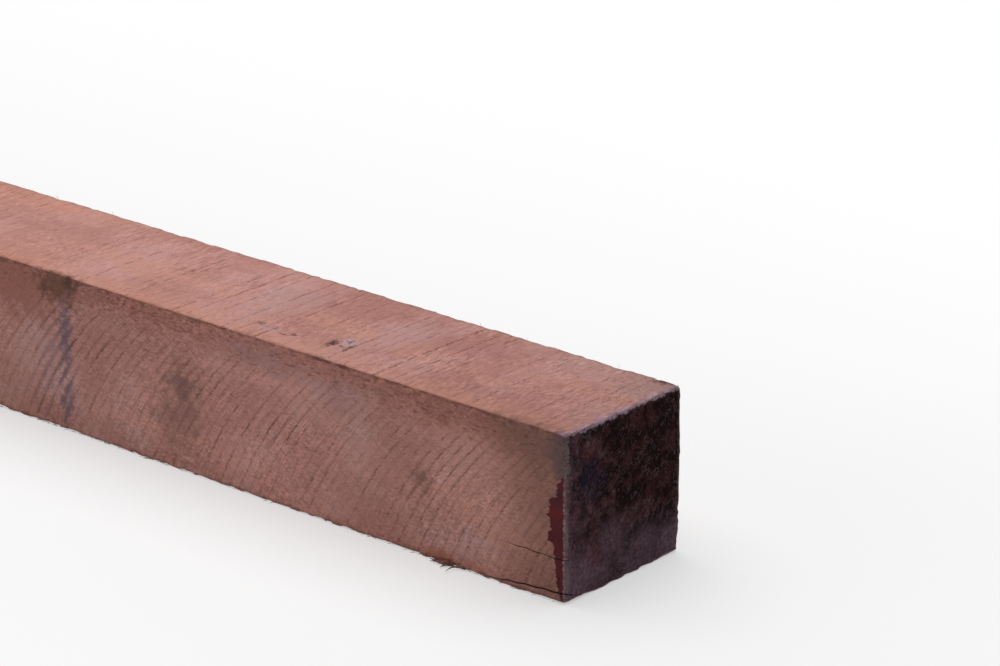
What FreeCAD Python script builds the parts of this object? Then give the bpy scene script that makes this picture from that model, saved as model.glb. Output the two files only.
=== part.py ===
"""A rough-sawn square hardwood post, lying on one long face.

Frame: millimetres, +X along the post, +Y across it, +Z up.
The origin is the middle of the face that the post lies on.
The post is one piece of sawn timber, so the model is one PartDesign body: a
square section padded along X, with its four long arrises rounded as handling
leaves them, and the edges of both cross-cut ends broken by a small chamfer.
"""
import FreeCAD, Part

import os

import Sketcher

# Driving dimensions in millimetres. Each row is (alias, value, what it is).
SIZES = (
    ("post_length", 1500, "length between the two cross-cut ends"),
    ("section_width", 70, "width of the sawn section, across Y"),
    ("section_height", 70, "height of the sawn section, along Z"),
    ("arris_radius", 1.5, "radius of the four long arrises"),
    ("end_chamfer", 1.0, "chamfer round the edges of each cross-cut end"),
)

PARTS_FOLDER = "parts"
SAME_PLACE = 1e-6


def add_sizes(document):
    """Fills the spreadsheet that drives the model, one alias to a row."""
    sheet = document.addObject("Spreadsheet::Sheet", "Sizes")
    for row, (alias, value, meaning) in enumerate(SIZES, start=1):
        sheet.set(f"A{row}", meaning)
        sheet.set(f"B{row}", str(value))
        sheet.setAlias(f"B{row}", alias)
    document.recompute()
    return sheet


def origin_plane(body, role):
    """Returns the plane of the body's own origin that has this role."""
    return next(f for f in body.Origin.OriginFeatures if f.Role == role)


def add_section(body):
    """Sketches the sawn section on the YZ plane, standing on Z = 0 and centred on Y = 0."""
    sketch = body.newObject("Sketcher::SketchObject", "SawnSection")
    sketch.AttachmentSupport = [(origin_plane(body, "YZ_Plane"), "")]
    sketch.MapMode = "FlatFace"

    # The sketch's own x runs along Y and its y along Z. These corners only
    # start the outline: the constraints below set its real size.
    corners = [FreeCAD.Vector(*at) for at in ((-1, 0), (1, 0), (1, 1), (-1, 1))]
    for start, end in zip(corners, corners[1:] + corners[:1]):
        sketch.addGeometry(Part.LineSegment(start, end), False)
    bottom, right, top, left = range(4)
    start_point, end_point = 1, 2
    for line, following in ((bottom, right), (right, top), (top, left), (left, bottom)):
        sketch.addConstraint(
            Sketcher.Constraint("Coincident", line, end_point, following, start_point)
        )
    sketch.addConstraint(Sketcher.Constraint("Horizontal", top))
    for line in (right, left):
        sketch.addConstraint(Sketcher.Constraint("Vertical", line))

    # The bottom edge lies on the sketch's x axis, halved by its y axis, which
    # keeps it level too.
    x_axis, y_axis = -1, -2
    sketch.addConstraint(Sketcher.Constraint("PointOnObject", bottom, start_point, x_axis))
    sketch.addConstraint(
        Sketcher.Constraint("Symmetric", bottom, start_point, bottom, end_point, y_axis)
    )
    width = sketch.addConstraint(
        Sketcher.Constraint("DistanceX", bottom, start_point, bottom, end_point, 2.0)
    )
    height = sketch.addConstraint(
        Sketcher.Constraint("DistanceY", right, start_point, right, end_point, 1.0)
    )
    sketch.renameConstraint(width, "width")
    sketch.renameConstraint(height, "height")
    sketch.setExpression("Constraints.width", "Sizes.section_width")
    sketch.setExpression("Constraints.height", "Sizes.section_height")
    return sketch


def add_length(document, body, sketch):
    """Pads the section to the post's length, half of it each way from the origin."""
    pad = body.newObject("PartDesign::Pad", "SawnLength")
    pad.Profile = sketch
    pad.SideType = "Symmetric"
    pad.setExpression("Length", "Sizes.post_length")
    sketch.Visibility = False
    document.recompute()
    return pad


def edge_names(shape, wanted):
    """Names the edges of a shape that pass a test, as a dress-up feature wants them."""
    return [f"Edge{i}" for i, edge in enumerate(shape.Edges, start=1) if wanted(edge)]


def runs_along_post(edge):
    """True for an edge whose two ends differ in X alone."""
    first, last = (vertex.Point for vertex in edge.Vertexes)
    return abs(first.y - last.y) < SAME_PLACE and abs(first.z - last.z) < SAME_PLACE


def lies_on_an_end(edge):
    """True for an edge that lies in the plane of a cross-cut end."""
    return edge.BoundBox.XLength < SAME_PLACE


def round_arrises(document, body, pad):
    """Rounds the four arrises that run the length of the post."""
    arrises = body.newObject("PartDesign::Fillet", "RoundedArrises")
    arrises.Base = (pad, edge_names(pad.Shape, runs_along_post))
    arrises.setExpression("Radius", "Sizes.arris_radius")
    document.recompute()
    return arrises


def break_ends(document, body, arrises):
    """Chamfers the whole outline of both cross-cut ends."""
    ends = body.newObject("PartDesign::Chamfer", "BrokenEnds")
    ends.Base = (arrises, edge_names(arrises.Shape, lies_on_an_end))
    ends.setExpression("Size", "Sizes.end_chamfer")
    document.recompute()
    return ends


def build_post(document):
    """Builds the post's body and returns it."""
    body = document.addObject("PartDesign::Body", "Post")
    body.Label = "post"
    sketch = add_section(body)
    pad = add_length(document, body, sketch)
    arrises = round_arrises(document, body, pad)
    break_ends(document, body, arrises)
    return body


def check_model(document, pieces):
    """Stops the build if a feature failed or a piece isn't one sound solid."""
    for feature in document.Objects:
        if {"Invalid", "Error"} & set(feature.State):
            raise RuntimeError(f"{feature.Label} failed: {feature.State}")
    for piece in pieces:
        shape = piece.Shape
        if shape.isNull() or not shape.isValid() or len(shape.Solids) != 1:
            raise RuntimeError(f"{piece.Label} isn't one sound solid")


def main():
    """Builds the document and writes one STEP file for each piece."""
    document = FreeCAD.newDocument("hardwood_post")
    add_sizes(document)
    pieces = [build_post(document)]
    document.recompute()
    check_model(document, pieces)
    os.makedirs(PARTS_FOLDER, exist_ok=True)
    for piece in pieces:
        piece.Shape.exportStep(os.path.join(PARTS_FOLDER, f"{piece.Label}.step"))
        box = piece.Shape.BoundBox
        print(f"{piece.Label}: {box.XLength:.1f} x {box.YLength:.1f} x {box.ZLength:.1f} mm,",
              f"{piece.Shape.Volume / 1e6:.3f} dm3")


main()
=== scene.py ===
"""A rough-sawn square hardwood post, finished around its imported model.

Metres, +X along the post towards its near end, +Y across it, +Z up. The origin lies under the
middle of the post, on the floor. The post is one piece of sawn timber, so one closed skin stands
for it, with the fibres that the saws tore loose standing on its arrises and round its ends.
"""
import itertools
import logging
import math
from collections.abc import Callable, Iterable
from dataclasses import dataclass, field
from enum import Enum
from functools import cache, reduce
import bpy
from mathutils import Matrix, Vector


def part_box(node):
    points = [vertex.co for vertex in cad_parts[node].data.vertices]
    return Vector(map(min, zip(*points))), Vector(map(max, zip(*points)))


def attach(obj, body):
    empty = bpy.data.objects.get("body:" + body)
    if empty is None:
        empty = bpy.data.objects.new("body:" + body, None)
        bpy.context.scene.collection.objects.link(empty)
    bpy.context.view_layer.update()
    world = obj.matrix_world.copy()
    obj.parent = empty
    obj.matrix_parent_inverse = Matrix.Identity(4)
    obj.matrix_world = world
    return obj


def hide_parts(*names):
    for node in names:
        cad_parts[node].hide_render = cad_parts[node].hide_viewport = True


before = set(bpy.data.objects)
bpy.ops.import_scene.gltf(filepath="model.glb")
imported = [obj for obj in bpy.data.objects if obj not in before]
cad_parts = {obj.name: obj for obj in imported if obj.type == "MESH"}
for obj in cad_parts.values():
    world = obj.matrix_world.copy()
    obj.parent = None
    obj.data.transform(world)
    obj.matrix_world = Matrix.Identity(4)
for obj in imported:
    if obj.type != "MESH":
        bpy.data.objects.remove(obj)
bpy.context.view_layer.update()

from types import SimpleNamespace
from typing import Union

import bpy
import numpy as np
from mathutils import Matrix, Vector

BODY = "root"
NODE = "post"
MM = 0.001

log = logging.getLogger("hardwood_post")

Value = Union["Wire", bpy.types.NodeSocket, float, tuple]
Triple = tuple[float, float, float]
Colour = tuple[float, float, float, float]
ORIGIN: Triple = (0.0, 0.0, 0.0)


# ---------------------------------------------------------------- numbers over the surface


def ease(value: np.ndarray, low: float, high: float) -> np.ndarray:
    """Smooth step: 0 at low, 1 at high and 3s2 - 2s3 between.

    Args:
        value: numbers to judge.
        low: where the step starts; it may be the larger of the two.
        high: where the step ends.

    Returns:
        Numbers from 0 to 1, in the shape of value.
    """
    share = np.clip((value - low) / (high - low), 0.0, 1.0)
    return share * share * (3.0 - 2.0 * share)


@dataclass(frozen=True)
class SeededNoise:
    """A lattice of seeded random numbers, read smoothly between its points."""

    seed: int
    grain: Triple
    size: int = 61

    def at(self, points: np.ndarray) -> np.ndarray:
        """Read the lattice: the eight corners round a point, weighted by eased distances.

        Args:
            points: places in metres, one row each.

        Returns:
            One number from -1 to 1 for each place.
        """
        table = np.random.default_rng(self.seed).uniform(-1.0, 1.0, (self.size,) * 3)
        spot = points / np.array(self.grain)
        cell = np.floor(spot).astype(int)
        part = spot - cell
        part = part * part * (3.0 - 2.0 * part)
        total = np.zeros(len(points))
        for corner in itertools.product((0, 1), repeat=3):
            near = (cell + corner) % self.size
            weight = np.prod(np.where(corner, part, 1.0 - part), axis=1)
            total += weight * table[near[:, 0], near[:, 1], near[:, 2]]
        return total


# ---------------------------------------------------------------- what the saws and drying left


@dataclass(frozen=True)
class BladeMarks:
    """Arcs that a round blade left on the two upright faces.

    Each tooth line is part of a circle of the blade's radius about an arbor that runs below the
    post, and the feed sets the pitch from one line to the next.
    """

    pitch: float = 5.45 * MM
    radius: float = 175 * MM
    arbor_depth: float = 70 * MM
    groove_width: float = 1.6 * MM
    groove_depth: float = 0.05 * MM
    offset: float = 0.03
    sway: float = 0.16
    sway_length: float = 430 * MM
    sway_turn: float = 2.05

    def phase(self, x: np.ndarray, z: np.ndarray) -> np.ndarray:
        """Count of lines up to a place: (x + the arc's reach at height z) / pitch, plus a slow sway.

        Args:
            x: place along the post.
            z: height over the floor.

        Returns:
            A number that grows by one from line to line, whole at the bottom of a groove.
        """
        reach = np.sqrt(self.radius**2 - (z + self.arbor_depth) ** 2)
        sway = self.sway * np.sin(2 * math.pi * x / self.sway_length + self.sway_turn)
        return (x + reach) / self.pitch + self.offset + sway

    def groove(self, x: np.ndarray, z: np.ndarray) -> np.ndarray:
        """Depth of the groove: a smooth valley of the groove's width round each whole phase."""
        gap = np.abs(self.phase(x, z) - np.round(self.phase(x, z))) * self.pitch
        return self.groove_depth * ease(gap, self.groove_width, 0.0)


@dataclass(frozen=True)
class CrossCuts:
    """Straight marks that a frame saw left across the top face and the underside."""

    seed: int
    nearest: float = 3 * MM
    furthest: float = 11 * MM
    groove_width: float = 1.0 * MM
    groove_depth: float = 0.07 * MM
    deep: tuple[float, ...] = ()

    def places(self, low: float, high: float) -> tuple[np.ndarray, np.ndarray]:
        """Draw where the marks lie, at uneven steps, and how strong each one is.

        Args:
            low: far end of the post.
            high: near end of the post.

        Returns:
            The places along the post in rising order, and a strength from 0 to 1 for each.
        """
        draw = np.random.default_rng(self.seed)
        count = int((high - low) / self.nearest)
        steps = draw.uniform(self.nearest, self.furthest, count)
        marks = low + np.cumsum(steps)
        power = draw.uniform(0.15, 0.9, count) ** 1.2
        marks = np.concatenate([marks[marks < high], high - np.array(self.deep)])
        power = np.concatenate([power[: len(marks) - len(self.deep)], np.ones(len(self.deep))])
        order = np.argsort(marks)
        return marks[order], power[order]

    def read(self, x: np.ndarray, low: float, high: float) -> tuple[np.ndarray, ...]:
        """Phase (whole at each mark, straight between), the gap between marks, and their strength.

        Args:
            x: places along the post.
            low: far end of the post.
            high: near end of the post.

        Returns:
            Phase, gap in metres and strength, one of each for every place.
        """
        marks, power = self.places(low, high)
        phase = np.interp(x, marks, np.arange(len(marks)))
        index = np.clip(np.floor(phase).astype(int), 0, len(marks) - 2)
        return phase, np.diff(marks)[index], np.interp(x, marks, power)

    def groove(self, x: np.ndarray, low: float, high: float) -> np.ndarray:
        """Depth of the marks: a smooth valley round each whole phase, times its strength.

        Args:
            x: places along the post.
            low: far end of the post.
            high: near end of the post.

        Returns:
            One depth for each place.
        """
        phase, gap, power = self.read(x, low, high)
        away = np.abs(phase - np.round(phase)) * gap
        return self.groove_depth * power * ease(away, self.groove_width, 0.0)


@dataclass(frozen=True)
class DryingCrack:
    """A drying crack that runs in from one end of the front face and turns on to that end.

    Its height is start - fall * (distance / run) ** bend + a small wave, and on the end face it
    slopes down by slant for each metre in from the front face.
    """

    start: float
    fall: float
    run: float
    turn: float
    half_width: float
    depth: float
    bend: float = 1.6
    slant: float = 0.0
    wave: float = 0.15 * MM
    wave_length: float = 9 * MM

    def height(self, back: np.ndarray, inward: np.ndarray) -> np.ndarray:
        """Height of the crack's middle line.

        Args:
            back: distance from the near end.
            inward: distance from the front face.

        Returns:
            The height over the floor at each place.
        """
        share = np.clip(back / self.run, 0.0, 1.2)
        wave = self.wave * np.sin(2 * math.pi * back / self.wave_length)
        slope = self.slant * np.minimum(inward, 2 * self.turn)
        return self.start - self.fall * share**self.bend + wave - slope

    def groove(self, back: np.ndarray, inward: np.ndarray, z: np.ndarray) -> np.ndarray:
        """Depth of the crack: a bell across its line, less towards the tips on both faces.

        Args:
            back: distance from the near end.
            inward: distance from the front face.
            z: height over the floor.

        Returns:
            One depth for each place.
        """
        share = ease(back, self.run, 0.4 * self.run) * ease(inward, self.turn, 0.3 * self.turn)
        across = (z - self.height(back, inward)) / self.half_width
        return self.depth * share * np.exp(-(across**2))


# ---------------------------------------------------------------- shader graphs


def sign(operation: str, swapped: bool = False) -> Callable[["Wire", Value], "Wire"]:
    """Make the method that stands for one sign of arithmetic.

    Args:
        operation: the Math node's operation.
        swapped: whether the wire is the second of the two numbers.

    Returns:
        A method that adds the Math node and gives its value.
    """
    def act(wire: "Wire", other: Value) -> "Wire":
        """Add the Math node for the wire and the other number."""
        return wire.graph.math(operation, *((other, wire) if swapped else (wire, other)))
    return act


@dataclass(frozen=True)
class Wire:
    """What flows out of a node. Sums and products of wires add Math nodes to their graph."""

    graph: "Graph"
    socket: bpy.types.NodeSocket
    __add__, __radd__ = sign("ADD"), sign("ADD", swapped=True)
    __sub__, __rsub__ = sign("SUBTRACT"), sign("SUBTRACT", swapped=True)
    __mul__, __rmul__ = sign("MULTIPLY"), sign("MULTIPLY", swapped=True)
    __truediv__, __pow__ = sign("DIVIDE"), sign("POWER")

    def __abs__(self) -> "Wire":
        """Drop the sign."""
        return self.graph.math("ABSOLUTE", self)


class Graph:
    """Adds nodes to one node tree and links them."""

    def __init__(self, tree: bpy.types.NodeTree) -> None:
        """Keep the tree that the nodes are added to."""
        self.tree = tree

    def node(self, kind: str, **settings: object) -> bpy.types.Node:
        """Add one node.

        Args:
            kind: the node's type, without the leading ShaderNode.
            settings: attributes of the node and their values.

        Returns:
            The new node.
        """
        made = self.tree.nodes.new("ShaderNode" + kind)
        for name, value in settings.items():
            setattr(made, name, value)
        return made

    def feed(self, socket: bpy.types.NodeSocket, value: Value) -> None:
        """Link a socket, or set it where the value is plain.

        Args:
            socket: the input that takes the value.
            value: a wire or an output to link, or a number or tuple to set.
        """
        value = value.socket if isinstance(value, Wire) else value
        if isinstance(value, bpy.types.NodeSocket):
            self.tree.links.new(value, socket)
        else:
            socket.default_value = value

    def fed(self, node: bpy.types.Node, values: dict[str | int, Value], output: str | int = 0) -> Wire:
        """Feed a node and give what flows out of it.

        Args:
            node: the node.
            values: what its inputs take, by name or number.
            output: the wanted output's name or number.

        Returns:
            The output.
        """
        for name, value in values.items():
            self.feed(node.inputs[name], value)
        return Wire(self, node.outputs[output])

    def math(self, operation: str, *values: Value) -> Wire:
        """Add a Math node and give its value."""
        return self.fed(self.node("Math", operation=operation), dict(enumerate(values)))

    def most(self, first: Value, second: Value) -> Wire:
        """Give the larger of two numbers."""
        return self.math("MAXIMUM", first, second)

    def least(self, first: Value, second: Value) -> Wire:
        """Give the smaller of two numbers."""
        return self.math("MINIMUM", first, second)

    def vector(self, operation: str, *values: Value) -> Wire:
        """Add a Vector Math node and give its vector."""
        return self.fed(self.node("VectorMath", operation=operation), dict(enumerate(values)))

    def length(self, vector: Value) -> Wire:
        """Give the length of a vector."""
        return self.fed(self.node("VectorMath", operation="LENGTH"), {0: vector}, "Value")

    def scaled(self, colour: Value, factor: Value) -> Wire:
        """Multiply a vector or a colour by one number."""
        return self.fed(self.node("VectorMath", operation="SCALE"), {0: colour, "Scale": factor})

    def span(self, value: Value, low: Value, high: Value, to_low: Value = 0.0, to_high: Value = 1.0) -> Wire:
        """Carry a value smoothly from one range to another.

        Args:
            value: the number to carry.
            low: start of its range, which may be the larger of the two.
            high: end of its range.
            to_low: what the start becomes.
            to_high: what the end becomes.

        Returns:
            The carried value, held to the new range.
        """
        return self.fed(self.node("MapRange", interpolation_type="SMOOTHSTEP"), {
            "Value": value, "From Min": low, "From Max": high, "To Min": to_low, "To Max": to_high})

    def mix(self, share: Value, first: Value, second: Value) -> Wire:
        """Mix two colours: the first at a share of 0, the second at 1."""
        return self.fed(self.node("Mix", data_type="RGBA"), {0: share, 6: first, 7: second}, 2)

    def noise(self, place: Value, cells: Value = 1.0, detail: float = 3.0,
              roughness: float = 0.55, distortion: float = 0.0) -> Wire:
        """Add a Noise Texture and give its value, about 0.5 on average.

        Args:
            place: where the noise is read.
            cells: cells for each metre, or a vector of them along X, Y and Z.
            detail: how many finer layers are added.
            roughness: how strong the finer layers are.
            distortion: how far the cells are pulled about.

        Returns:
            The noise's value.
        """
        if not isinstance(cells, float):
            place, cells = self.vector("MULTIPLY", place, cells), 1.0
        return self.fed(self.node("TexNoise"), {"Vector": place, "Scale": cells, "Detail": detail,
                                                "Roughness": roughness, "Distortion": distortion})

    def split(self, place: Value) -> tuple[Wire, ...]:
        """Split a vector into X, Y and Z.

        Args:
            place: the vector.

        Returns:
            The three numbers.
        """
        made = self.node("SeparateXYZ")
        self.feed(made.inputs[0], place)
        return tuple(Wire(self, output) for output in made.outputs)

    def join(self, x: Value, y: Value, z: Value) -> Wire:
        """Join three numbers into a vector."""
        return self.fed(self.node("CombineXYZ"), {0: x, 1: y, 2: z})

    def place(self, tree: bpy.types.NodeTree, **values: Value) -> SimpleNamespace:
        """Place a group and set its inputs.

        Args:
            tree: the group's node tree.
            values: inputs by name, in small letters with _ for each space.

        Returns:
            The outputs of the placed group, by name.
        """
        made = self.node("Group", node_tree=tree)
        for name, value in values.items():
            self.feed(made.inputs[label(name)], value)
        return by_name(self, made.outputs)

    def give(self, **results: Value) -> bpy.types.NodeTree:
        """End a group by putting its results out.

        Args:
            results: the outputs by name, in small letters with _ for each space.

        Returns:
            The group's tree.
        """
        for name in results:
            self.tree.interface.new_socket(label(name), in_out="OUTPUT", socket_type="NodeSocketFloat")
        end = self.tree.nodes.new("NodeGroupOutput")
        for name, value in results.items():
            self.feed(end.inputs[label(name)], value)
        return self.tree


def label(name: str) -> str:
    """Turn a name in the script into the label of a socket."""
    return name.replace("_", " ").title()


def by_name(graph: Graph, sockets: Iterable[bpy.types.NodeSocket]) -> SimpleNamespace:
    """Give sockets as wires under their names in the script."""
    return SimpleNamespace(**{s.name.lower().replace(" ", "_"): Wire(graph, s) for s in sockets if s.name})


def new_effect(name: str, **inputs: float | tuple[float, ...]) -> tuple[Graph, SimpleNamespace]:
    """Start a node group.

    Args:
        name: the group's name.
        inputs: each input's name and what it is when nothing is linked: a number or a vector.

    Returns:
        The group's graph, and its inputs by name.
    """
    graph = Graph(bpy.data.node_groups.new(name, "ShaderNodeTree"))
    for key, plain in inputs.items():
        kind = "NodeSocketFloat" if isinstance(plain, float) else "NodeSocketVector"
        graph.tree.interface.new_socket(label(key), in_out="INPUT", socket_type=kind).default_value = plain
    return graph, by_name(graph, graph.tree.nodes.new("NodeGroupInput").outputs)


@cache
def face_lay() -> bpy.types.NodeTree:
    """Tell which face a place is on and how far it lies from the edges.

    The depths below the sides and the flats are compared: the lesser of them names the face, and
    the greater is the distance to the arris.

    Returns:
        A group with the mask Side and the distances Back, Arris, End Gap and Border.
    """
    graph, box = new_effect("face_lay", position=ORIGIN, half_length=0.75, half_width=0.035, height=0.07)
    x, y, z = graph.split(box.position)
    side_depth = box.half_width - abs(y)
    flat_depth = graph.least(z, box.height - z)
    blur = 0.25 * MM
    return graph.give(
        side=graph.span(flat_depth - side_depth, -blur, blur), back=box.half_length - x,
        arris=graph.most(side_depth, flat_depth), end_gap=box.half_length - abs(x),
        border=graph.least(side_depth, flat_depth))


@cache
def blade_arcs() -> bpy.types.NodeTree:
    """Draw the round blade's tooth lines: the phase of BladeMarks.phase, with torn, broken grooves.

    Returns:
        A group with Groove, the line that the finish paints dark, partly as painted shade in the groove,
        Ridge, the lip beside it, which the finish paints paler as a painted highlight, Swell, the soft
        wave between two lines, which the finish paints as soft painted shading, and Scratch, fine
        streaks along the arcs.
    """
    graph, blade = new_effect(
        "blade_arcs", position=ORIGIN, pitch=0.005, radius=0.175, arbor_depth=0.07, offset=0.0, sway=0.0,
        sway_length=1.0, sway_turn=0.0, width=0.001, jag=0.6)
    x, _, z = graph.split(blade.position)
    reach = graph.math("SQRT", blade.radius**2.0 - (z + blade.arbor_depth) ** 2.0)
    sway = graph.math("SINE", x * (2 * math.pi) / blade.sway_length + blade.sway_turn) * blade.sway
    phase = (x + reach) / blade.pitch + blade.offset + sway
    cell = graph.math("ROUND", phase)
    shake = graph.noise(blade.position, (120.0, 800.0, 800.0), roughness=0.7)
    tear = graph.noise(blade.position, (210.0, 760.0, 760.0), roughness=0.7)
    part = phase + (shake - 0.5) * blade.jag - cell
    chance = graph.fed(graph.node("TexWhiteNoise", noise_dimensions="1D"), {"W": cell})
    power = graph.span(chance, 0.0, 0.8, 0.30, 1.0)
    gaps = graph.noise(graph.join(cell * 3.7, 0.0, z * 170.0), detail=4.0, roughness=0.75)
    share = power * (graph.span(gaps, 0.37, 0.54) * graph.span(tear, 0.38, 0.56, 0.35, 1.0))
    line = graph.span(abs(part) * blade.pitch, blade.width, blade.width * 0.2)
    lip = graph.span(abs(part - 0.24) * blade.pitch, blade.width, 0.0)
    drawn = graph.join(phase * blade.pitch * 1150.0, 0.0, z * 130.0)
    return graph.give(groove=line * share, ridge=lip * share, scratch=graph.noise(drawn, roughness=0.65),
                      swell=graph.math("COSINE", part * (2 * math.pi)) * -0.5)


@cache
def cross_cuts() -> bpy.types.NodeTree:
    """Draw the straight marks from the phase, gap and strength that the skin carries.

    Returns:
        A group with Groove, the broken line, which the finish paints dark, partly as painted shade in the
        cut.
    """
    graph, cut = new_effect("cross_cuts", position=ORIGIN, phase=0.0, gap=0.01, strength=0.5,
                            width=0.001, jag=0.003)
    _, y, _ = graph.split(cut.position)
    shake = graph.noise(cut.position, (70.0, 380.0, 70.0), roughness=0.6)
    cell = graph.math("ROUND", cut.phase)
    away = abs((cut.phase - cell) * cut.gap + (shake - 0.5) * cut.jag)
    line = graph.span(away, cut.width, cut.width * 0.2)
    gaps = graph.noise(graph.join(cell * 3.7, y * 150.0, 0.0), detail=4.0, roughness=0.8)
    return graph.give(groove=line * graph.span(gaps, 0.38, 0.60) * cut.strength)


@cache
def wood_fibre() -> bpy.types.NodeTree:
    """Lay fibres along one way: fine streaks, a middling mottle and a broad tone.

    Returns:
        A group with Streak, Mottle and Tone, each about 0.5 on average.
    """
    graph, fibre = new_effect("wood_fibre", position=ORIGIN, fine=(60.0, 900.0, 900.0),
                              middle=(200.0, 450.0, 450.0), broad=(9.0, 55.0, 55.0))
    return graph.give(
        streak=graph.noise(fibre.position, fibre.fine, roughness=0.65),
        mottle=graph.noise(fibre.position, fibre.middle, detail=4.0, roughness=0.75),
        tone=graph.noise(fibre.position, fibre.broad, detail=4.0, roughness=0.6))


@cache
def flecks() -> bpy.types.NodeTree:
    """Scatter short flecks: the places where a stretched noise passes a level.

    Returns:
        A group with Mask.
    """
    graph, fleck = new_effect("flecks", position=ORIGIN, grain=(200.0, 900.0, 900.0), level=0.62, blur=0.06)
    value = graph.noise(fleck.position, fleck.grain, detail=2.0, roughness=0.5)
    return graph.give(mask=graph.span(value, fleck.level, fleck.level + fleck.blur))


@cache
def soft_patch() -> bpy.types.NodeTree:
    """Make a frayed patch: 1 in the middle of a stretched ball, falling to 0 past its reach.

    Returns:
        A group with Mask.
    """
    graph, patch = new_effect("soft_patch", position=ORIGIN, centre=ORIGIN, reach=(0.01, 0.01, 0.01),
                              rough=0.5, fray=0.8, hardness=0.4)
    away = graph.vector("DIVIDE", graph.vector("SUBTRACT", patch.position, patch.centre), patch.reach)
    frayed = graph.length(away) + (patch.rough - 0.5) * patch.fray
    return graph.give(mask=graph.span(frayed, 1.0, patch.hardness))


@cache
def stray_fibres() -> bpy.types.NodeTree:
    """Scatter thin loose fibres: lines where a pulled noise passes its middle value, in patches.

    Returns:
        A group with Mask.
    """
    graph, fibre = new_effect("stray_fibres", position=ORIGIN, grain=(300.0, 300.0, 300.0), thin=0.03,
                              cover=0.5)
    place = graph.vector("MULTIPLY", fibre.position, fibre.grain)
    value = graph.noise(place, detail=1.5, roughness=0.5, distortion=1.2)
    patch = graph.noise(graph.scaled(place, 0.37), detail=2.0)
    low = 0.78 - fibre.cover * 0.5
    line = graph.span(abs(value - 0.5), fibre.thin, 0.0)
    return graph.give(mask=line * graph.span(patch, low, low + 0.1))


@cache
def worn_edge() -> bpy.types.NodeTree:
    """Mask the strip along an edge, with a ragged inner border.

    Returns:
        A group with Mask.
    """
    graph, edge = new_effect("worn_edge", distance=1.0, reach=0.002, rough=0.5, fray=1.0)
    return graph.give(mask=graph.span(edge.distance / edge.reach + (edge.rough - 0.5) * edge.fray, 1.0, 0.25))


@cache
def crack_line() -> bpy.types.NodeTree:
    """Draw a drying crack's line along the path that DryingCrack.height gives; the finishes paint it near
    black as painted shade inside the crack.

    Returns:
        A group with Mask.
    """
    graph, crack = new_effect(
        "crack_line", back=0.0, inward=0.0, height=0.0, start=0.0, fall=0.0, run=0.03, bend=1.6,
        turn=0.003, slant=0.0, wave=0.0, wave_length=0.01, half_width=0.0002)
    share = graph.most(crack.back, 0.0) / crack.run
    fall = graph.least(share, 1.2) ** crack.bend * crack.fall
    wave = graph.math("SINE", crack.back * (2 * math.pi) / crack.wave_length) * crack.wave
    inward = graph.most(crack.inward, 0.0)
    slope = graph.least(inward, crack.turn * 2.0) * crack.slant
    away = abs(crack.height - (crack.start - fall + wave - slope))
    dark = graph.span(away, crack.half_width, crack.half_width * 0.3)
    return graph.give(mask=dark * (graph.span(share, 1.0, 0.7) * graph.span(inward / crack.turn, 1.0, 0.6)))


# ---------------------------------------------------------------- finishes


@dataclass(frozen=True)
class Lay:
    """The post's box, as every finish needs it."""

    half_length: float
    half_width: float
    height: float


class Paint(Graph):
    """The graph of one material, with its shader and its coordinates."""

    def __init__(self, name: str, roughness: float, specular: float) -> None:
        """Start the material.

        Args:
            name: the material's name.
            roughness: the shader's plain roughness.
            specular: the shader's specular level.
        """
        self.material = bpy.data.materials.new(name)
        self.material.use_nodes = True
        super().__init__(self.material.node_tree)
        self.principled = self.tree.nodes["Principled BSDF"]
        self.principled.inputs["Roughness"].default_value = roughness
        self.principled.inputs["Specular IOR Level"].default_value = specular
        self.position = self.node("TexCoord").outputs["Object"]
        self.x, self.y, self.z = self.split(self.position)


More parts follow.
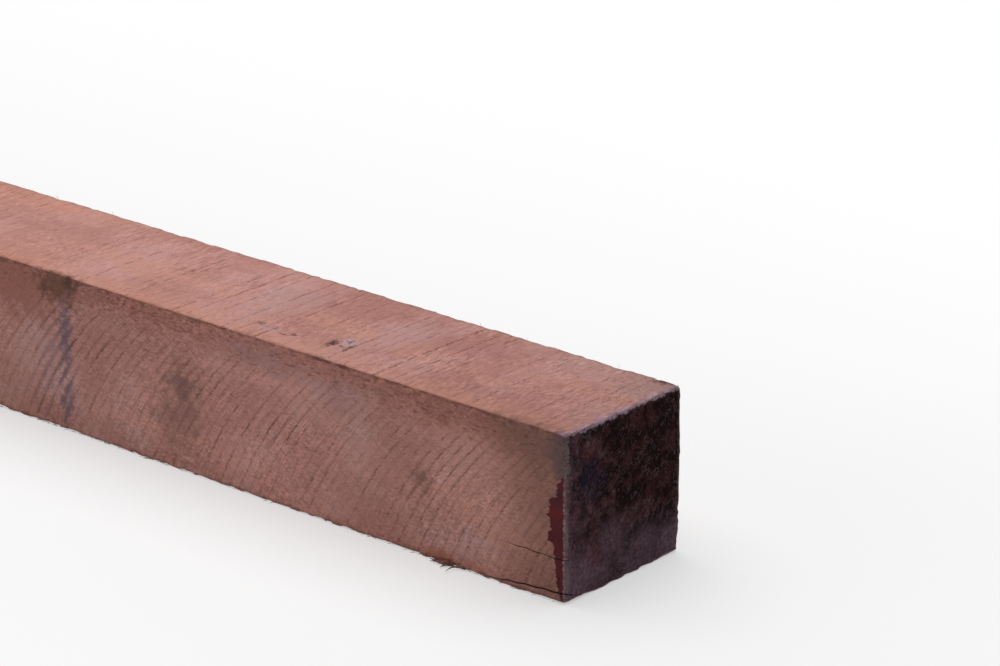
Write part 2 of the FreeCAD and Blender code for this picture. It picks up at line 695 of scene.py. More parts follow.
class Coat(Paint):
    """The graph of one finish of the post, with the lay of its faces and its common effects."""

    def __init__(self, name: str, roughness: float, specular: float, box: Lay) -> None:
        """Start the material and tell its faces apart.

        Args:
            name: the material's name.
            roughness: the shader's plain roughness.
            specular: the shader's specular level.
            box: the post's box.
        """
        super().__init__(name, roughness, specular)
        self.box = box
        self.lay = self.place(face_lay(), position=self.position, half_length=box.half_length,
                              half_width=box.half_width, height=box.height)

    def patch(self, centre: Triple, reach: Triple, rough: Wire, fray: float,
              hardness: float = 0.1) -> Wire:
        """Mask a frayed patch.

        Args:
            centre: millimetres back from the near end, across from the middle and up.
            reach: half its size along X, Y and Z in millimetres.
            rough: the noise that frays its border.
            fray: how far the border wanders, as a share of the reach.
            hardness: the share of the reach within which it is full.

        Returns:
            The mask.
        """
        back, across, up = (value * MM for value in centre)
        return self.place(
            soft_patch(), position=self.position, centre=(self.box.half_length - back, across, up),
            reach=tuple(value * MM for value in reach), rough=rough, fray=fray, hardness=hardness).mask

    def flecked(self, grain: Triple, level: float, place: Value | None = None) -> Wire:
        """Mask short flecks.

        Args:
            grain: cells for each metre along X, Y and Z.
            level: what the noise has to pass.
            place: where the noise is read, if not at the object coordinates.

        Returns:
            The mask.
        """
        return self.place(flecks(), position=place or self.position, grain=grain, level=level).mask

    def edge(self, distance: Wire, reach: float, rough: Wire, fray: float) -> Wire:
        """Mask the strip along an edge.

        Args:
            distance: how far the edge is.
            reach: the strip's width in millimetres.
            rough: the noise that makes it ragged.
            fray: how ragged it is.

        Returns:
            The mask.
        """
        return self.place(worn_edge(), distance=distance, reach=reach * MM, rough=rough, fray=fray).mask

    def cracked(self, cracks: tuple[DryingCrack, ...]) -> Wire:
        """Mask the drying cracks at the near end of the front face.

        Args:
            cracks: the cracks.

        Returns:
            The mask.
        """
        path = ("start", "fall", "run", "bend", "turn", "slant", "wave", "wave_length")
        inward = self.y + self.box.half_width
        masks = []
        for crack in cracks:
            values = {name: getattr(crack, name) for name in path}
            masks.append(self.place(crack_line(), back=self.lay.back, inward=inward, height=self.z,
                                    half_width=1.3 * crack.half_width, **values).mask)
        return reduce(self.most, masks)

    def finish(self, colour: Wire, roughness: Wire, height: Wire) -> bpy.types.Material:
        """Feed the shader.

        Args:
            colour: the base colour.
            roughness: the roughness.
            height: the bump's height in millimetres.

        Returns:
            The material.
        """
        bump = self.fed(self.node("Bump"), {"Strength": 1.0, "Distance": MM, "Height": height})
        self.feed(self.principled.inputs["Base Color"], colour)
        self.feed(self.principled.inputs["Roughness"], roughness)
        self.feed(self.principled.inputs["Normal"], bump)
        return self.material


class Grain(Enum):
    """Size of the noise that frays a stain's border, in cells for each metre."""

    BROAD = 170.0
    FINE = 520.0


@dataclass(frozen=True)
class Stain:
    """One frayed patch of colour: its place back from the near end, across and up, and its reach, in mm."""

    place: Triple
    reach: Triple
    colour: Colour
    strength: float
    fray: float = 1.2
    hardness: float = 0.2
    follow: float = 0.1
    grain: Grain = Grain.BROAD


@dataclass(frozen=True)
class SawnWood:
    """Finish of the four sawn faces: red-brown timber with saw marks, stains and a run of end wax.

    The run's border and the stretches of strong arcs are given in millimetres back from the near
    end and up from the underside.
    """

    box: Lay
    blade: BladeMarks
    cracks: tuple[DryingCrack, ...]
    stains: tuple[Stain, ...]
    pale: Colour = (0.515, 0.262, 0.228, 1.0)
    deep: Colour = (0.415, 0.198, 0.168, 1.0)
    warm: Colour = (0.522, 0.246, 0.180, 1.0)
    rosy: Colour = (0.500, 0.285, 0.268, 1.0)
    umber: Colour = (0.330, 0.138, 0.105, 1.0)
    dull: Colour = (0.245, 0.120, 0.096, 1.0)
    line: Colour = (0.120, 0.042, 0.032, 1.0)
    painted_highlight: Colour = (0.640, 0.400, 0.350, 1.0)
    haze: Colour = (0.104, 0.066, 0.074, 1.0)
    lilac: Colour = (0.385, 0.250, 0.308, 1.0)
    wax: Colour = (0.065, 0.006, 0.009, 1.0)
    wax_purple: Colour = (0.062, 0.007, 0.014, 1.0)
    wax_red: Colour = (0.108, 0.009, 0.006, 1.0)
    wax_lip: Colour = (0.360, 0.240, 0.250, 1.0)
    # crack: painted shade inside the drying cracks
    crack: Colour = (0.012, 0.004, 0.004, 1.0)
    run_edge: tuple[tuple[float, float], ...] = (
        (0.0, 2.0), (5.0, 3.7), (10.0, 5.0), (20.0, 5.9), (24.0, 6.2), (25.2, 9.3), (28.4, 9.0),
        (30.0, 7.8), (34.2, 8.3), (35.4, 10.0), (36.6, 8.4), (42.5, 8.6), (44.0, 5.4), (50.0, 4.0),
        (53.5, 2.2))
    run_widest: float = 12.0
    strong_arcs: tuple[tuple[float, float, float, float], ...] = (
        (222.0, 44.0, 110.0, 19.0), (60.0, 14.0, 36.0, 20.0), (22.0, 29.0, 30.0, 15.0),
        (150.0, 34.0, 50.0, 14.0))

    def run_mask(self, coat: Coat, front: Wire) -> Wire:
        """Mask the wax run, whose far border is a curve of the height, frayed along the grain.

        Args:
            coat: the material's graph.
            front: mask of the front face.

        Returns:
            The run's mask.
        """
        top = self.box.height / MM
        curve = coat.node("FloatCurve")
        points = curve.mapping.curves[0].points
        marks = [(up / top, wide / self.run_widest) for up, wide in self.run_edge] + [(1.0, 0.0)]
        points[0].location = marks[0]
        points[1].location = marks[-1]
        for mark in marks[1:-1]:
            points.new(*mark)
        for point in points:
            point.handle_type = "VECTOR"
        curve.mapping.update()
        border = coat.fed(curve, {"Value": coat.z / self.box.height}) * (self.run_widest * MM)
        fray = coat.noise(coat.position, (90.0, 90.0, 560.0), roughness=0.7)
        gap = border + (fray - 0.5) * (4.6 * MM) - coat.lay.back
        inside = coat.span(gap, -0.1 * MM, 0.5 * MM) * coat.span(coat.lay.back, 1.0 * MM, 1.8 * MM)
        return inside * (coat.span(coat.z, 54.0 * MM, 52.0 * MM) * front)

    def arc_share(self, coat: Coat) -> Wire:
        """Tell how strongly the blade's arcs show: in patches, and strongly where the blade dug in.

        Args:
            coat: the material's graph.

        Returns:
            A share from 0 to 1.
        """
        cloud = coat.noise(coat.position, (24.0, 24.0, 40.0), roughness=0.6)
        share = coat.span(cloud, 0.33, 0.60, 0.16, 0.80)
        for back, up, long, tall in self.strong_arcs:
            dug = coat.patch((back, -self.box.half_width / MM, up), (long, 20.0, tall), cloud, 1.8)
            share = coat.most(share, dug)
        return share * coat.span(coat.z + (cloud - 0.5) * (26.0 * MM), 66.0 * MM, 53.0 * MM)

    def build(self) -> bpy.types.Material:
        """Build the material.

        Returns:
            The finish of the four sawn faces.
        """
        coat = Coat("sawn_hardwood_faces", 0.85, 0.1, self.box)
        position, y, z, lay = coat.position, coat.y, coat.z, coat.lay
        side = lay.side
        flat = 1.0 - side
        front = side * coat.math("LESS_THAN", y, 0.0)
        upper = flat * coat.math("GREATER_THAN", z, self.box.height / 2)
        frays = {grain: coat.noise(position, grain.value, detail=4.0, roughness=0.7) for grain in Grain}
        fray = frays[Grain.BROAD]

        along = coat.place(wood_fibre(), position=position, fine=(520.0, 1050.0, 1050.0),
                           middle=(240.0, 400.0, 400.0))
        across = coat.place(wood_fibre(), position=position, fine=(1150.0, 340.0, 520.0),
                            middle=(400.0, 125.0, 400.0), broad=(26.0, 15.0, 30.0))
        streak = coat.mix(side, across.streak, along.streak)
        mottle = coat.mix(side, across.mottle, along.mottle)
        colour = coat.mix(coat.span(along.tone * 0.4 + across.tone * 0.6, 0.38, 0.62), self.deep, self.pale)
        rosy = coat.span(across.tone + fray * 0.25, 0.60, 0.80)
        colour = coat.mix(rosy * 0.7, colour, self.rosy)
        by_front = coat.span(y, -16.0 * MM, -34.0 * MM) * upper
        warm = coat.span(along.tone + fray * 0.25, 0.60, 0.82)
        colour = coat.mix(coat.most(by_front * 0.55, warm * 0.6), colour, self.warm)

        band = z + (fray - 0.5) * (24.0 * MM)
        banded = coat.most(coat.span(band, 52.0 * MM, 66.0 * MM) * 0.80,
                           coat.span(band, 13.0 * MM, 1.0 * MM) * 0.26)
        colour = coat.mix(banded * side, colour, self.umber)
        near = coat.span(lay.end_gap, 42.0 * MM, 6.0 * MM) * side
        colour = coat.mix(near * 0.85, colour, self.dull)

        course = ("pitch", "radius", "arbor_depth", "offset", "sway", "sway_length", "sway_turn")
        arcs = coat.place(blade_arcs(), position=position, width=0.72 * MM,
                          **{name: getattr(self.blade, name) for name in course})
        share = side * self.arc_share(coat)
        groove = arcs.groove * share
        ridge = arcs.ridge * share
        swell = arcs.swell * share
        scratched = coat.span(z, 66.0 * MM, 52.0 * MM, 0.25, 0.78) * side
        mottle = mottle + (arcs.scratch - mottle) * scratched

        phase, gap, strength = (coat.node("Attribute", attribute_name="cut_" + name).outputs["Fac"]
                                for name in ("phase", "gap", "power"))
        cuts = coat.place(cross_cuts(), position=position, phase=phase, gap=gap, strength=strength,
                          width=0.7 * MM).groove * flat
        torn = coat.flecked((230.0, 900.0, 900.0), 0.61) * (0.26 + banded * 0.80) * side
        fading = coat.span(lay.back, 60.0 * MM, 220.0 * MM, 0.46, 0.22)
        specks = coat.flecked((800.0, 270.0, 760.0), 0.65) * (flat * fading)
        glints = coat.flecked((560.0, 820.0, 820.0), 0.66)

        rugged = coat.span(coat.noise(position, (32.0, 46.0, 60.0), roughness=0.7), 0.36, 0.64, 0.45, 1.45)
        rugged = rugged + banded * side * 0.75 + side * 0.12
        calm = coat.span(lay.back, 60.0 * MM, 200.0 * MM, 1.08, 0.78)
        grain = (streak - 0.5) * 0.95 + (mottle - 0.5)
        # swell adds soft painted shading: darker in each groove of the arcs and lighter on the wave between
        # two lines
        shade = 1.0 + grain * (rugged * coat.most(calm, side)) + swell * 0.10
        on_flats = coat.span(lay.back, 10.0 * MM, 260.0 * MM, 0.91, 1.10)
        on_flats = on_flats * coat.span(lay.back, 3.0 * MM, 22.0 * MM, 0.90, 1.0)
        on_sides = coat.span(lay.back, 90.0 * MM, 150.0 * MM, 0.915, 1.03)
        on_sides = on_sides * coat.span(lay.back, 160.0 * MM, 300.0 * MM, 1.0, 0.85)
        colour = coat.scaled(colour, shade * coat.mix(flat, on_sides, on_flats))
        # painted highlight: the lips beside the blade's grooves and small glints are laid paler, standing in
        # for light catching them
        pale = coat.most(ridge * 0.16, glints * (0.20 + banded * side * 0.22))
        colour = coat.mix(pale, colour, self.painted_highlight)
        # The dark lines of the blade's arcs and the cross cuts are partly painted shade in their grooves and
        # partly torn fibre; the torn flecks and the specks are the wood's own dark flecks.
        dark = coat.most(coat.most(coat.most(groove * 0.70, cuts * 0.70), torn * 0.60), specks)

        for stain in self.stains:
            mask = coat.patch(stain.place, stain.reach, frays[stain.grain] + swell * stain.follow, stain.fray,
                              stain.hardness)
            colour = coat.mix(mask * stain.strength, colour, stain.colour)
        colour = coat.mix(dark, colour, self.line)
        edge = coat.edge(lay.arris, 2.0, fray, 3.2)
        colour = coat.mix(edge * coat.span(side, 0.0, 1.0, 0.22, 0.42), colour, self.line)

        hair = coat.place(stray_fibres(), position=position, grain=(90.0, 420.0, 420.0), thin=0.05,
                          cover=0.75).mask
        fringe = coat.edge(lay.end_gap, 5.0, fray, 2.2) * coat.span(hair, 0.0, 1.0, 0.6, 1.0)
        fringe_colour = coat.scaled(coat.mix(side, self.lilac, self.haze),
                                    coat.span(mottle, 0.38, 0.62, 0.6, 1.35))
        colour = coat.mix(fringe, colour, fringe_colour)

        run = self.run_mask(coat, front)
        red = coat.patch((5.0, -self.box.half_width / MM, 37.0), (7.0, 8.0, 3.4), fray, 1.6)
        wax = coat.mix(coat.span(z, 34.0 * MM, 44.0 * MM), self.wax, self.wax_purple)
        wax = coat.scaled(coat.mix(red, wax, self.wax_red), coat.span(fray, 0.3, 0.7, 0.75, 1.25))
        colour = coat.mix(run, colour, wax)
        lip = coat.span(lay.back, 0.5 * MM, 1.2 * MM) * coat.span(lay.back, 2.0 * MM, 1.4 * MM)
        lip = lip * coat.span(streak, 0.50, 0.58) * front * coat.span(z, 56.0 * MM, 44.0 * MM)
        colour = coat.mix(lip * 0.65, colour, self.wax_lip)
        # The cracks are painted near black: painted shade inside them.
        cracks = coat.cracked(self.cracks)
        colour = coat.mix(cracks * 0.9, colour, self.crack)
        height = (groove * -0.22 + ridge * 0.10 + cuts * -0.22 + streak * 0.20 + mottle * 0.45 + torn * -0.16
                  + cracks * -0.5)
        return coat.finish(colour, 0.88 - run * 0.36, height)


@dataclass(frozen=True)
class SealedEnd:
    """Finish of the cross-cut ends: dark wax over end grain, with dust and loose fibres on it."""

    box: Lay
    cracks: tuple[DryingCrack, ...]
    black: Colour = (0.0085, 0.0026, 0.0032, 1.0)
    brown: Colour = (0.046, 0.0165, 0.0170, 1.0)
    plum: Colour = (0.124, 0.074, 0.096, 1.0)
    red: Colour = (0.100, 0.030, 0.030, 1.0)
    blue: Colour = (0.020, 0.012, 0.024, 1.0)
    dust: Colour = (0.210, 0.155, 0.165, 1.0)
    lilac: Colour = (0.360, 0.285, 0.350, 1.0)
    # crack: painted shade inside the drying cracks
    crack: Colour = (0.003, 0.002, 0.002, 1.0)

    def build(self) -> bpy.types.Material:
        """Build the material.

        Returns:
            The finish of both ends.
        """
        coat = Coat("wax_sealed_end", 0.75, 0.015, self.box)
        position, x, y, z = coat.position, coat.x, coat.y, coat.z
        clots = coat.noise(position, 110.0, detail=5.0, roughness=0.7)
        grit = coat.noise(position, 620.0, detail=4.0, roughness=0.75)
        drift = coat.noise(position, 38.0, roughness=0.6)
        colour = coat.mix(coat.span(clots, 0.44, 0.60), self.black, self.brown)
        # The plum is laid stronger towards the bottom and the front of the end: painted sheen on the wax,
        # over its own mottled plum colour.
        haze = coat.span(z, 34.0 * MM, 2.0 * MM) + coat.span(y, -14.0 * MM, -34.0 * MM) * 0.45
        haze = haze + (drift - 0.52) * 2.4 + (clots - 0.5) * 2.0
        colour = coat.mix(coat.span(haze, 0.0, 1.45), colour, self.plum)
        for across, up, reach, tint, strength in (
                (-17.0, 16.0, 7.0, self.red, 0.7), (-21.0, 60.0, 7.0, self.red, 0.45),
                (-20.0, 47.0, 11.0, self.blue, 0.85), (-7.0, 19.0, 11.0, self.plum, 0.6),
                (14.0, 10.0, 9.0, self.plum, 0.6), (24.0, 38.0, 19.0, self.black, 0.5)):
            mask = coat.patch((0.0, across, up), (8.0, reach, reach), clots, 2.0)
            colour = coat.mix(mask * strength, colour, tint)
        colour = coat.scaled(colour, coat.span(grit, 0.30, 0.70, 0.56, 1.44))
        fibres = coat.place(stray_fibres(), position=position, grain=(300.0, 200.0, 260.0), thin=0.030,
                            cover=0.66).mask
        colour = coat.mix(fibres * 0.26, colour, self.dust)
        for slant, share in ((0.6, 0.30), (-0.9, 0.20)):
            turned = coat.join(x, y - z * slant, y * slant + z)
            colour = coat.mix(coat.flecked((1100.0, 1300.0, 300.0), 0.625, turned) * share, colour, self.dust)
        ragged = clots * 0.45 + grit * 0.55
        for distance, reach, tint, strength in (
                (coat.lay.border, 1.8, self.dust, 0.40), (y + self.box.half_width, 3.0, self.dust, 0.55),
                (self.box.height - z, 1.5, self.lilac, 0.80)):
            colour = coat.mix(coat.edge(distance, reach, ragged, 6.0) * strength, colour, tint)
        # The cracks are painted near black: painted shade inside them.
        colour = coat.mix(coat.cracked(self.cracks), colour, self.crack)
        height = clots * 0.9 + grit * 0.4 + fibres * 0.12
        return coat.finish(colour, coat.span(clots, 0.3, 0.7, 0.6, 0.85), height)


@dataclass(frozen=True)
class TornFibre:
    """Finish of the loose fibres: a dark and a pale tone, changing from one fibre to the next."""

    name: str
    dark: Colour
    pale: Colour

    def build(self) -> bpy.types.Material:
        """Build the material.

        Returns:
            The finish of one kind of loose fibre.
        """
        paint = Paint(self.name, 0.85, 0.15)
        fibre = paint.place(wood_fibre(), position=paint.position, broad=(420.0, 700.0, 700.0))
        colour = paint.mix(paint.span(fibre.tone, 0.34, 0.66), self.dark, self.pale)
        paint.feed(paint.principled.inputs["Base Color"], paint.scaled(colour, 0.75 + fibre.streak * 0.5))
        return paint.material


def all_seen(graph: Graph) -> Wire:
    """Tell the rays that look at the studio: from the camera, off gloss and through glass.

    Args:
        graph: the graph of the material or world.

    Returns:
        1 for those rays and 0 for the rest.
    """
    path = graph.node("LightPath").outputs
    return graph.most(path["Is Camera Ray"], graph.most(path["Is Glossy Ray"], path["Is Transmission Ray"]))


@dataclass(frozen=True)
class PaleFloor:
    """Finish of the floor: a pale plain surface that reads as white away from the post.

    What the camera sees fades to plain white with the distance from the post, and close to it
    the surface keeps the post's shadow. Light that bounces meets the plain surface everywhere.
    """

    paint: Colour = (0.86, 0.86, 0.86, 1.0)
    seen: Colour = (0.97, 0.97, 0.97, 1.0)
    near_white: float = 0.42
    reach: float = 0.50

    def build(self, half_length: float) -> bpy.types.Material:
        """Build the material.

        Args:
            half_length: half the post's length, along which the shadow is kept.

        Returns:
            The floor's finish.
        """
        paint = Paint("pale_floor", 0.9, 0.0)
        away = paint.length(paint.join(paint.most(abs(paint.x) - half_length, 0.0), paint.y, 0.0))
        cloud = paint.noise(paint.position, 3.0, detail=2.0)
        fade = paint.span(away + (cloud - 0.5) * 0.05, 0.02, self.reach, self.near_white, 1.0)
        seen = all_seen(paint)
        paint.feed(paint.principled.inputs["Base Color"], paint.mix(seen, self.paint, self.seen))
        white = paint.fed(paint.node("Emission"), {"Strength": 1.0})
        blend = paint.fed(paint.node("MixShader"), {0: fade * seen, 1: paint.principled.outputs[0], 2: white})
        paint.feed(paint.tree.nodes["Material Output"].inputs["Surface"], blend)
        return paint.material


# ---------------------------------------------------------------- meshes


def new_piece(name: str, points: np.ndarray, polygons: list[np.ndarray]) -> bpy.types.Object:
    """Put worked-out points and faces into a new object at the origin.

    Args:
        name: the piece's name.
        points: corner places in metres, one row each.
        polygons: arrays of corner numbers, one array for each count of corners.

    Returns:
        The new object, linked to the scene.
    """
    corners = np.concatenate([faces.ravel() for faces in polygons])
    counts = np.concatenate([np.full(len(faces), faces.shape[1]) for faces in polygons])
    mesh = bpy.data.meshes.new(name)
    mesh.vertices.add(len(points))
    mesh.vertices.foreach_set("co", points.astype(np.float32).ravel())
    mesh.loops.add(len(corners))
    mesh.loops.foreach_set("vertex_index", corners.astype(np.int32))
    mesh.polygons.add(len(counts))
    mesh.polygons.foreach_set("loop_start", (np.cumsum(counts) - counts).astype(np.int32))
    mesh.update(calc_edges=True)
    mesh.validate()
    mesh.shade_smooth()
    piece = bpy.data.objects.new(name, mesh)
    bpy.context.scene.collection.objects.link(piece)
    return piece


def hand_over(piece: bpy.types.Object) -> bpy.types.Object:
    """Let a piece ride on the post's body and stand for its node, whose part it hides.

    Args:
        piece: the piece, in its place.

    Returns:
        The same piece.
    """
    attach(piece, BODY)
    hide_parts(NODE)
    log.info("%s: %d faces", piece.name, len(piece.data.polygons))
    return piece


@dataclass(frozen=True)
class KnockedCorner:
    """A place where the arris is rounded more than elsewhere."""

    spot: Triple
    reach: float
    extra: float


@dataclass
class Post:
    """The skin of the post: a closed box of grids, rounded at its arrises and cut by the saws."""

    low: Vector
    high: Vector
    blade: BladeMarks
    top_cuts: CrossCuts
    under_cuts: CrossCuts
    cracks: tuple[DryingCrack, ...]
    knocks: tuple[KnockedCorner, ...]
    arris: float = 0.55 * MM
    arris_swing: float = 0.35 * MM
    chip: float = 1.7 * MM
    waviness: float = 0.22 * MM
    torn: float = 1.15 * MM
    end_rough: float = 0.45 * MM
    least_arris: float = 0.25 * MM
    columns: int = 42
    crowding: float = 0.78
    step_marks: tuple[float, ...] = (0.0, 8.0, 300.0, 420.0, 1440.0, 1490.0, 1500.0)
    step_sizes: tuple[float, ...] = (0.45, 1.0, 1.25, 8.0, 8.0, 1.2, 0.5)
    step_samples: int = 30001
    crack_rows: tuple[float, ...] = (-0.55, -0.22, 0.0, 0.22, 0.55)
    crack_clear: float = 0.45 * MM
    crack_fade: float = 10 * MM

    def stations(self) -> np.ndarray:
        """Places of the cross-sections, close together near the ends.

        The wanted step is a broken line over the distance from the near end. The count of
        steps up to a place is the running sum of 1 / step, and whole counts give the stations.

        Returns:
            Places along X in rising order, from one end to the other.
        """
        length = self.high.x - self.low.x
        marks = np.array(self.step_marks) / self.step_marks[-1] * length
        back = np.linspace(0.0, length, self.step_samples)
        rate = 1.0 / (np.interp(back, marks, np.array(self.step_sizes)) * MM)
        count = np.concatenate([[0.0], np.cumsum((rate[1:] + rate[:-1]) / 2 * np.diff(back))])
        whole = np.linspace(0.0, count[-1], int(count[-1]) + 1)
        return np.sort(self.high.x - np.interp(whole, count, back))

    def spread(self, low: float, high: float) -> np.ndarray:
        """Rows across a face, crowded to its arrises: a blend of t and sin(pi t / 2).

        Args:
            low: one arris.
            high: the other arris.

        Returns:
            Places from low to high.
        """
        t = np.linspace(-1.0, 1.0, self.columns + 1)
        share = (1.0 - self.crowding) * t + self.crowding * np.sin(math.pi * t / 2)
        return (low + high) / 2 + share * (high - low) / 2

    def rows(self) -> np.ndarray:
        """Rows up the side faces: the crowded rows, with a close set along each crack.

        Returns:
            Heights from the underside to the top.
        """
        plain = self.spread(self.low.z, self.high.z)
        extra = np.concatenate([crack.start + np.array(self.crack_rows) * MM for crack in self.cracks])
        away = np.abs(plain[:, None] - extra[None, :]).min(axis=1)
        inner = (away > self.crack_clear) | (plain == plain[0]) | (plain == plain[-1])
        return np.sort(np.concatenate([plain[inner], extra]))

    def lattice(self) -> tuple[np.ndarray, list[np.ndarray], np.ndarray]:
        """Number the points of the box's six grids, each shared point once.

        Returns:
            The points, the six arrays of four-sided faces, and each face's material number.
        """
        axes = (self.stations(), self.spread(self.low.y, self.high.y), self.rows())
        shell = np.zeros([len(axis) for axis in axes], bool)
        for turn in range(3):
            np.moveaxis(shell, turn, 0)[[0, -1]] = True
        number = np.full(shell.shape, -1)
        number[shell] = np.arange(shell.sum())
        index = np.nonzero(shell)
        points = np.stack([axis[place] for axis, place in zip(axes, index)], axis=1)
        grids = []
        slots = []
        for turn in range(3):
            sheets = np.moveaxis(number, turn, 0)
            for sheet, outwards in ((sheets[-1], turn != 1), (sheets[0], turn == 1)):
                quads = np.stack([sheet[:-1, :-1], sheet[1:, :-1], sheet[1:, 1:], sheet[:-1, 1:]], axis=-1)
                quads = quads.reshape(-1, 4)
                grids.append(quads if outwards else quads[:, ::-1])
                slots.append(np.full(len(quads), 1 if turn == 0 else 0))
        return points, grids, np.concatenate(slots)

    def follow_cracks(self, points: np.ndarray) -> np.ndarray:
        """Slide rows up or down so that a crack's close rows lie along its path.

        Below the crack's first height a row keeps its share of the height of the path; above it
        the shift fades out over a short way.

        Args:
            points: places on the plain box.

        Returns:
            The places with their heights moved.
        """
        moved = points.copy()
        back = self.high.x - points[:, 0]
        inward = points[:, 1] - self.low.y
        for crack in self.cracks:
            path = crack.height(back, inward)
            shift = (path - crack.start) * ease(inward, 4 * crack.turn, 2 * crack.turn)
            below = np.clip(points[:, 2] / crack.start, 0.0, 1.0)
            above = np.clip(1.0 - (points[:, 2] - crack.start) / self.crack_fade, 0.0, 1.0)
            near = ease(back, 3 * crack.run, 1.5 * crack.run)
            moved[:, 2] += shift * near * np.where(points[:, 2] <= crack.start, below, above)
        return moved

    def arris_radius(self, points: np.ndarray) -> np.ndarray:
        """Radius of the arris at each place: plain, with a swing, chips and knocked corners.

        Args:
            points: places on the plain box.

        Returns:
            One radius for each place, never under a quarter of a millimetre.
        """
        swing = SeededNoise(11, (7 * MM, 4 * MM, 4 * MM)).at(points)
        chips = ease(SeededNoise(12, (16 * MM, 30 * MM, 30 * MM)).at(points), 0.42, 0.9)
        radius = self.arris + self.arris_swing * swing + self.chip * chips
        for knock in self.knocks:
            away = np.linalg.norm(points - np.array(knock.spot), axis=1)
            radius += knock.extra * ease(away, knock.reach, 0.0)
        return np.maximum(radius, self.least_arris)

    def relief(self, points: np.ndarray) -> np.ndarray:
        """Depth of the sawn surface below the plain box.

        It is the sum of a slow waviness, the blade's arcs on the sides, the frame saw's marks on
        the flats, the wood torn from the arrises, the rough ends and the cracks.

        Args:
            points: places on the plain box.

        Returns:
            One depth for each place, 0 or more.
        """
        x, y, z = points.T
        tiny = 1e-7
        side = (np.minimum(y - self.low.y, self.high.y - y) < tiny).astype(float)
        ends = (np.minimum(x - self.low.x, self.high.x - x) < tiny).astype(float)
        across = np.minimum(y - self.low.y, self.high.y - y)
        upright = np.minimum(z - self.low.z, self.high.z - z)
        from_end = np.minimum(x - self.low.x, self.high.x - x)
        from_arris = np.where(ends > 0, np.minimum(across, upright),
                              np.minimum(np.maximum(across, upright), from_end))
        slow = 0.5 + 0.5 * SeededNoise(21, (70 * MM, 14 * MM, 14 * MM)).at(points)
        patchy = np.clip(0.6 + 0.8 * SeededNoise(22, (30 * MM,) * 3).at(points), 0.0, 1.0)
        long_face = 1.0 - ends
        depth = self.waviness * slow
        depth += long_face * side * patchy * self.blade.groove(x, z)
        top = np.where(z > (self.low.z + self.high.z) / 2,
                       self.top_cuts.groove(x, self.low.x, self.high.x),
                       self.under_cuts.groove(x, self.low.x, self.high.x))
        depth += long_face * (1.0 - side) * top
        torn = 0.5 + 0.5 * SeededNoise(23, (2.6 * MM, 1.4 * MM, 1.4 * MM)).at(points)
        lower = ease(z, self.high.z, self.low.z)
        depth += self.torn * (0.55 + 0.45 * lower) * torn**2 * ease(from_arris, 2.0 * MM, 0.0)
        rough = 0.5 + 0.3 * SeededNoise(24, (2.2 * MM,) * 3).at(points)
        rough += 0.2 * SeededNoise(25, (9 * MM,) * 3).at(points)
        depth += ends * self.end_rough * rough
        for crack in self.cracks:
            depth += crack.groove(self.high.x - x, y - self.low.y, z)
        return depth

    def sawn(self, points: np.ndarray) -> np.ndarray:
        """Round the box and sink its surface.

        With r the arris radius and Q the place held inside the box shrunk by r, a place P goes
        to Q + (r - depth) * unit(P - Q).

        Args:
            points: places on the plain box.

        Returns:
            The places on the sawn surface.
        """
        low = np.array(self.low)
        high = np.array(self.high)
        radius = self.arris_radius(points)[:, None]
        core = np.clip(points, low + radius, high - radius)
        out = points - core
        out /= np.linalg.norm(out, axis=1, keepdims=True)
        return core + out * (radius - self.relief(points)[:, None])

    def carry_cuts(self, piece: bpy.types.Object, points: np.ndarray) -> None:
        """Store the cross cuts' phase, gap and strength on the skin, for its finish to read.

        Args:
            piece: the skin.
            points: places on the plain box.
        """
        x, _, z = points.T
        middle = (self.low.z + self.high.z) / 2
        over = self.top_cuts.read(x, self.low.x, self.high.x)
        under = self.under_cuts.read(x, self.low.x, self.high.x)
        for name, first, second in zip(("cut_phase", "cut_gap", "cut_power"), over, under):
            layer = piece.data.attributes.new(name, "FLOAT", "POINT")
            layer.data.foreach_set("value", np.where(z > middle, first, second).astype(np.float32))

    def build(self, faces: bpy.types.Material, ends: bpy.types.Material) -> bpy.types.Object:
        """Build and dress the skin.

        Args:
            faces: finish of the four sawn faces.
            ends: finish of the cross-cut ends.

        Returns:
            The post's skin.
        """
        points, grids, slots = self.lattice()
        points = self.follow_cracks(points)
        piece = new_piece("post_skin", self.sawn(points), grids)
        self.carry_cuts(piece, points)
        piece.data.materials.append(faces)
        piece.data.materials.append(ends)
        piece.data.polygons.foreach_set("material_index", slots.astype(np.int32))
        return hand_over(piece)


@dataclass(frozen=True)
class Tuft:
    """A row of loose fibres along a straight line in millimetres, each bent its own way."""

    start: Triple
    end: Triple
    count: int
    aim: Triple
    spread: float
    length: float
    thickness: float
    seed: int

    def bends(self) -> tuple[np.ndarray, np.ndarray]:
        """Draw the fibres: a root on the line, a tip along the aim, and a middle off to one side.

        Returns:
            Roots, middles and tips as (fibres, 3, 3), and the thickness of each fibre.
        """
        draw = np.random.default_rng(self.seed)
        share = draw.uniform(0.0, 1.0, (self.count, 1))
        root = (np.array(self.start) * (1.0 - share) + np.array(self.end) * share) * MM
        way = np.array(self.aim) + draw.normal(0.0, self.spread, (self.count, 3))
        way /= np.linalg.norm(way, axis=1, keepdims=True)
        size = self.length * MM * draw.uniform(0.35, 1.0, (self.count, 1))
        tip = root + way * size
        middle = (root + tip) / 2 + draw.normal(0.0, 0.16, (self.count, 3)) * size
        widths = self.thickness * MM * draw.uniform(0.5, 1.0, self.count)
        return np.stack([root, middle, tip], axis=1), widths


